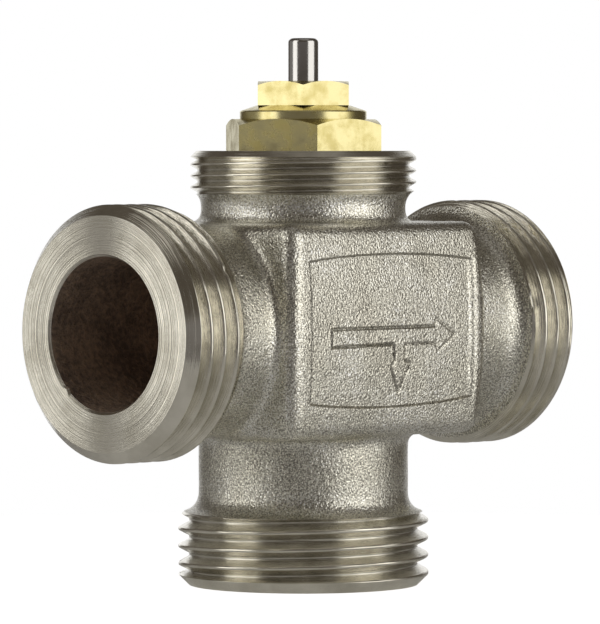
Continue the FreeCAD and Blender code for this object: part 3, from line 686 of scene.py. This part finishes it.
def sunk_share(place):
    """1 on the panel's floor, 0 outside it, and between them on its walls."""
    return math.prod(smooth_step(inside / edge + 0.5) for inside, edge in panel_sides(place))


def from_arrow(place):
    """Distance from the nearest line of the arrow, and how clearly that line was cast."""
    spot = Vector((place.x, place.z))
    nearest = []
    for start, end, clear in ARROW_LINES:
        run = end - start
        share = min(max((spot - start).dot(run) / run.length_squared, 0), 1)
        nearest.append(((spot - start - run * share).length, clear))
    return min(nearest)


def on_front(place):
    return (place.y < -FRONT_REACH.y and abs(place.x) < FRONT_REACH.x
            and abs(place.z) < FRONT_REACH.z)


def near_line(place):
    inside = min(inside for inside, edge in panel_sides(place))
    return on_front(place) and min(abs(inside), from_arrow(place)[0]) < FINE_REACH


fine = {edge for face in skin.faces if near_line(face.calc_center_median())
        for edge in face.edges}
bmesh.ops.subdivide_edges(skin, edges=list(fine), cuts=2, use_grid_fill=True)
painted_shading = skin.verts.layers.float.new(PAINTED_SHADING_LAYER)
for vert in skin.verts:
    if on_front(vert.co):
        fall = CROWN_RADIUS - math.sqrt(CROWN_RADIUS ** 2 - vert.co.z ** 2)
        sunk = sunk_share(vert.co)
        away, clear = from_arrow(vert.co)
        line = smooth_step(1 - away / LINE_WIDTH) * clear
        # painted shade on the panel's walls, stronger on the upper half
        painted_wall_shading = 4 * sunk * (1 - sunk) * (UPPER_WALL_SHADE if vert.co.z > 0 else LOWER_WALL_SHADE)
        # painted light on the right wall: a painted dark line down its middle and painted
        # highlights on its two shoulders
        if PANEL_RIGHT - vert.co.x < LONG_EDGE:
            painted_wall_shading = RIGHT_WALL_PAINTED_LIGHT * math.cos(math.tau * (sunk - 0.5) * 1.1) if painted_wall_shading > 0.1 else 0
        # a painted shade line beside the panel's left edge
        if PANEL_LEFT - vert.co.x < 1 and abs(vert.co.z) < PANEL_MIDDLE - PANEL_SWELL:
            beside = abs(vert.co.x - PANEL_LEFT) / LEFT_LINE
            painted_wall_shading = max(painted_wall_shading, smooth_step(LEFT_SHADE - beside))
        vert.co.y = fall - BLOCK.y + PANEL_DEPTH * sunk + LINE_DEPTH * line
        # the arrow's lines and the panel's walls go into the attribute as painted shade, and as
        # painted highlight where negative
        vert[painted_shading] = line if line > abs(painted_wall_shading) else painted_wall_shading
for vert in skin.verts:
    across = smooth_step((abs(vert.co.y) - 14.2) / 1.3)
    along = 1 - smooth_step((abs(vert.co.x) - BLOCK.x + 0.2) / 0.8)
    swell = PLAN_FALL * (vert.co.x / BLOCK.x) ** 2 * across * along
    vert.co.y -= math.copysign(swell, vert.co.y)
print("panel and arrow pressed in, front and back swollen by", PLAN_FALL, "mm")

# %% Close the shoulders and let the surface waver
WAVER = 0.035
WAVE_LENGTH = 3.5
for letter, sign, reach, thread in ARMS:
    start = reach - thread["length"]
    level = start - CUT_BACK
    rim = [edge for edge in skin.edges if edge.is_boundary
           and all(abs(outwards(vert.co, letter, sign)[0] - level) < 0.01 for vert in edge.verts)]
    for out, radius in ((start, thread["shoulder"]), (start, thread["shoulder"] - 1.5)):
        made = bmesh.ops.extrude_edge_only(skin, edges=rim)["geom"]
        rim = [part for part in made if isinstance(part, bmesh.types.BMEdge)]
        for vert in {vert for edge in rim for vert in edge.verts}:
            factor = radius / outwards(vert.co, letter, sign)[1]
            across = Vector((1, factor, factor)) if letter == "x" else Vector((factor, factor, 1))
            vert.co *= across
            setattr(vert.co, letter, sign * out)
for vert in skin.verts:
    vert.co += vert.normal * WAVER * noise.noise(vert.co / WAVE_LENGTH)
cast_skin = piece_from(skin, "cast_skin", "housing", [BLASTED])
waterways = piece_from(inner, "waterways", "housing", [CORED])
for piece in (cast_skin, waterways):
    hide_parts("valve_body")

# %% [markdown]
# ## Bonnet, gland nut and pin
# The two brass nuts are hexagon bar, turned at both ends. Each starts as a spun outline whose
# rings lie where the hexagon will be, and the rings are then pulled out to the six flats. The
# cone that breaks the corners is a limit on height, which leaves the arcs that real nuts have.

# %% Hexagons from round bar
HEX_STEPS = 96
CORNER_EASE = 0.22


def pull_to_hexagon(bm, half_flats, low, high, turn):
    """Pull the rings on the bar's radius out to six flats, and break the corners at the top."""
    sixth = math.pi / 3
    for vert in bm.verts:
        radius = vert.co.xy.length
        if radius > half_flats - 0.01 and low - 0.01 < vert.co.z < high + 0.01:
            angle = math.atan2(vert.co.y, vert.co.x) - math.radians(turn)
            off = angle % sixth - sixth / 2
            vert.co.xy *= half_flats / math.cos(off) / radius
            drop = (vert.co.xy.length - half_flats) * math.tan(sixth / 2)
            vert.co.z = min(vert.co.z, high - drop)
    corners = [edge for edge in bm.edges if edge.calc_face_angle(0) > math.radians(40)
               and all(vert.co.xy.length > half_flats * 1.13 for vert in edge.verts)
               and abs(edge.verts[0].co.z - edge.verts[1].co.z) > 0.05]
    bmesh.ops.bevel(bm, geom=corners, offset=CORNER_EASE, affect="EDGES", segments=3,
                    profile=0.5, material=-1, clamp_overlap=True)
    print("hexagon corners eased:", len(corners), "edges")


def bar(radius, low, high):
    """Rings up the outside of a bar, closer near the top where the corners are broken."""
    shares = (0, 0.02, 0.5, 0.75, 0.86, 0.93, 0.97, 1)
    return [(radius, low + (high - low) * share) for share in shares]


# %% The bonnet
BONNET_SEAT = COLLAR_RISE
BONNET_HEX = 9.5
HEX_TOP = BONNET_SEAT + 4.2
RIM_TOP = HEX_TOP + 1.1
BONNET_TOP = RIM_TOP + 0.7
BONNET_FOOT = 13.2
GLAND_FOOT = 26.8
FIT = 0.05
BONNET_TURN = 54.2
SHANK, SHANK_TOP, BONNET_THREAD = 8.55, 17.5, 9.0
RING_GROOVE, RING_LOW, RING_HIGH = 6.9, 14.6, 16.6
SPRING_ROOM, THROAT, RIM = 5.6, 5.05, 8.4
CLIP_GROOVE, CLIP_LOW, CLIP_HIGH = 6.15, 14.25, 14.85
RIM_EASE = 0.15
bonnet_outline = [
    (SPRING_ROOM, BONNET_FOOT), (SHANK, BONNET_FOOT), (SHANK, RING_LOW), (RING_GROOVE, RING_LOW),
    (RING_GROOVE, RING_HIGH), (SHANK, RING_HIGH), (SHANK, SHANK_TOP),
    (BONNET_THREAD, SHANK_TOP), (BONNET_THREAD, BONNET_SEAT)]
bonnet_outline += bar(BONNET_HEX, BONNET_SEAT, HEX_TOP)
bonnet_outline += [
    (8.62, HEX_TOP), (RIM, HEX_TOP), (RIM, HEX_TOP + RIM_EASE), (RIM, RIM_TOP - RIM_EASE),
    (8.28, RIM_TOP), (6.3, BONNET_TOP - 0.03), (6.1, BONNET_TOP), (THROAT, BONNET_TOP),
    (THROAT, GLAND_FOOT - FIT), (SPRING_ROOM, GLAND_FOOT - FIT), (SPRING_ROOM, CLIP_HIGH),
    (CLIP_GROOVE, CLIP_HIGH), (CLIP_GROOVE, CLIP_LOW), (SPRING_ROOM, CLIP_LOW)]
bm = turned(bonnet_outline, HEX_STEPS)
bmesh.ops.rotate(bm, verts=bm.verts, cent=(0, 0, 0),
                 matrix=Matrix.Rotation(math.radians(BONNET_TURN), 3, "Z"))
pull_to_hexagon(bm, BONNET_HEX, BONNET_SEAT, HEX_TOP, BONNET_TURN)
bonnet = piece_from(bm, "turned_bonnet", "housing", [BRASS])
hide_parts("bonnet")

# %% The gland nut
GLAND_HEX = 6.0
GLAND_SEAT = GLAND_FOOT + 2.6
GLAND_TOP = GLAND_SEAT + 3.2
GLAND_TURN = 44.5
GLAND_THREAD = 5.0
PACKING_ROOM = 1.95
PIN = 2.0
gland_outline = [(PIN + PACKING_ROOM, GLAND_FOOT), (GLAND_THREAD, GLAND_FOOT),
                 (GLAND_THREAD, GLAND_SEAT)]
gland_outline += bar(GLAND_HEX, GLAND_SEAT, GLAND_TOP)
gland_outline += [(5.4, GLAND_TOP), (4.2, GLAND_TOP), (PIN + 0.3, GLAND_TOP),
                  (PIN + FIT, GLAND_TOP - 0.2), (PIN + FIT, GLAND_FOOT + 2.5),
                  (PIN + PACKING_ROOM, GLAND_FOOT + 2.5)]
bm = turned(gland_outline, HEX_STEPS)
bmesh.ops.rotate(bm, verts=bm.verts, cent=(0, 0, 0),
                 matrix=Matrix.Rotation(math.radians(GLAND_TURN), 3, "Z"))
pull_to_hexagon(bm, GLAND_HEX, GLAND_SEAT, GLAND_TOP, GLAND_TURN)
gland = piece_from(bm, "turned_gland_nut", "housing", [BRASS])
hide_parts("gland_nut")

# %% The pin
PIN_FOOT = 25.6
PIN_TOP = 38.3
PIN_HEAD = 3.2
PIN_CHAMFER = 0.35
PIN_EASE = 0.2
POLE = 0.001
pin_outline = eased([(POLE, PIN_FOOT), (PIN_HEAD, PIN_FOOT), (PIN_HEAD, PIN_FOOT + 1),
                     (PIN, PIN_FOOT + 1), (PIN, PIN_TOP - PIN_CHAMFER),
                     (PIN - PIN_CHAMFER, PIN_TOP), (POLE, PIN_TOP)], PIN_EASE)
pin = piece_from(turned(pin_outline, HEX_STEPS), "ground_pin", "stem",
                 [PIN_STEEL])
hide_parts("push_pin")

# %% [markdown]
# ## What lies inside
# The discs and the rings can't be seen from here, but they are real pieces of the frame, so each
# node that is kept gets the finish that its material slot calls for. The spring stands on its
# bush, and a copy of it takes its place with its own mesh.

# %% A copy of the spring
coil = bmesh.new()
coil.from_mesh(frame["nodes"]["return_spring"].data)
bmesh.ops.remove_doubles(coil, verts=coil.verts, dist=1e-7)
bmesh.ops.transform(coil, matrix=TO_FRAME.inverted(), verts=coil.verts)
spring = piece_from(coil, "coiled_spring", "housing", [WIRE_STEEL])
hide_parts("return_spring")
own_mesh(spring)

# %% Dress the inner nodes
SLOT_FINISHES = {"nickel_plate": BLASTED, "brass": BRASS, "polished_steel": PIN_STEEL,
                 "spring_steel": WIRE_STEEL, "rubber": RUBBER}
for row in frame["record"]["subparts"]:
    node = frame["nodes"][row["node"]]
    node.data.materials.clear()
    node.data.materials.append(SLOT_FINISHES[row["material_slot"]].material)
print("dressed", len(frame["nodes"]), "nodes of the frame")

# %% [markdown]
# ## Floor and light
# The photograph was taken between two tall soft boxes against white. Metal shows what stands
# round it, so the room matters more than the lamps: bright to both sides, dark where the
# photographer stood and beside the backdrop, with a grey table in front. Only the eye sees the
# room as plain white.

# %% Floor
FLOOR_RADIUS = 0.13
FLOOR_GLOW = (0.9, 0.9, 0.9, 1)
NO_GLOW = (0, 0, 0, 1)
MIRRORED_GLOW = 0.12
floor_bm = bmesh.new()
bmesh.ops.create_circle(floor_bm, cap_ends=True, segments=96, radius=FLOOR_RADIUS)
floor_mesh = bpy.data.meshes.new("floor")
floor_bm.to_mesh(floor_mesh)
floor_bm.free()
floor = bpy.data.objects.new("floor", floor_mesh)
bpy.context.scene.collection.objects.link(floor)
floor_finish = Finish("pale_floor", Roughness=0.8, Base_Color=(0.7, 0.7, 0.7, 1))
seen, mirrored, through = floor_finish.others(
    floor_finish.node("ShaderNodeLightPath"), "Is Camera Ray", "Is Glossy Ray",
    "Is Transmission Ray")
glow = seen + mirrored * MIRRORED_GLOW + through
floor_finish.give(Emission_Color=floor_finish.blend(glow, NO_GLOW, FLOOR_GLOW),
                  Emission_Strength=1.0)
floor_mesh.materials.append(floor_finish.material)

# %% Lamps
LAMP_COLOUR = (1.0, 0.985, 0.94)
SIDE = Vector((math.cos(CAMERA_AZIMUTH), math.sin(CAMERA_AZIMUTH), 0))
TOWARDS = Vector((back.x, back.y, 0)).normalized()


def soft_box(name, angle, rise, distance, width, height, radiance):
    """An area lamp at an angle round the stem axis from the camera, positive to the right."""
    turn = math.radians(angle)
    way = TOWARDS * math.cos(turn) + SIDE * math.sin(turn)
    data = bpy.data.lights.new(name, "AREA")
    data.shape = "RECTANGLE"
    data.size = width
    data.size_y = height
    data.energy = radiance * math.pi * width * height
    data.color = LAMP_COLOUR
    lamp = bpy.data.objects.new(name, data)
    bpy.context.scene.collection.objects.link(lamp)
    lamp.location = CENTRE + way * distance + Vector((0, 0, rise))
    lamp.rotation_mode = "QUATERNION"
    lamp.rotation_quaternion = (CENTRE - lamp.location).to_track_quat("-Z", "Y")
    return lamp


soft_box("left_box", -66.5, 0.12, 0.9, 0.60, 1.4, 1.08)
soft_box("right_box", 64.5, 0.05, 0.9, 0.86, 1.2, 0.98)
soft_box("top_box", 30, 1.0, 0.25, 0.8, 0.8, 0.15)

# %% Room
DARK_ROOM = (0.085, 0.073, 0.06, 1)
TABLE = (0.16, 0.15, 0.145, 1)
LIT_ROOM = (0.45, 0.44, 0.42, 1)
world = bpy.data.worlds.new("room")
bpy.context.scene.world = world
world.use_nodes = True
room = Network(world.node_tree)
way = room.node("ShaderNodeTexCoord", output="Generated")


def seen_along(direction):
    """How far the way that is looked goes along a direction."""
    return room.node("ShaderNodeVectorMath", {"operation": "DOT_PRODUCT"},
                     {0: way, 1: tuple(direction)}, output="Value")


turn = seen_along(SIDE).maths("ARCTAN2", seen_along(SIDE), seen_along(TOWARDS))
aside = turn.maths("ABSOLUTE", turn)
rise = seen_along((0, 0, 1))
level = rise.maths("ABSOLUTE", rise)
uneven = turn.maths("ABSOLUTE", turn + math.radians(5))


def step(value, low, high, to_low=0.0, to_high=1.0):
    return room.ramp(value, low, high, to_low, to_high, "SMOOTHSTEP")


def swing(angle, low, high, to_low=0.0, to_high=1.0):
    """A smooth step between two angles in degrees."""
    return step(angle, math.radians(low), math.radians(high), to_low, to_high)


sides = swing(uneven, 38, 48) * swing(turn, 90, 98, 1.0, 0.0) * swing(turn, -92, -84)
dusk = swing(turn, -140, -120, 0.0, 0.4) * swing(turn, -86, -80, 1.0, 0.0)
dusk = dusk * step(level, 0.25, 0.5, 1.0, 0.1)
behind = swing(aside, 152, 164) * step(level, 0.25, 0.5, 1.0, 0.0)
table = swing(aside, 50, 62, 1.0, 0.0) * step(rise, 0.12, 0.26, 1.0, 0.0)
lit = (sides + dusk) * step(level, 0.45, 0.7, 1.0, 0.15)
dark = room.blend(table, DARK_ROOM, TABLE)
room_colour = room.blend(lit, dark, LIT_ROOM)
seen, mirrored, through = room.others(
    room.node("ShaderNodeLightPath"), "Is Camera Ray", "Is Glossy Ray", "Is Transmission Ray")
shown = room.blend(seen + (mirrored + through) * behind, room_colour, (1, 1, 1, 1))
room.feed(world.node_tree.nodes["Background"].inputs["Color"], shown)
bpy.context.scene.view_settings.view_transform = "Standard"
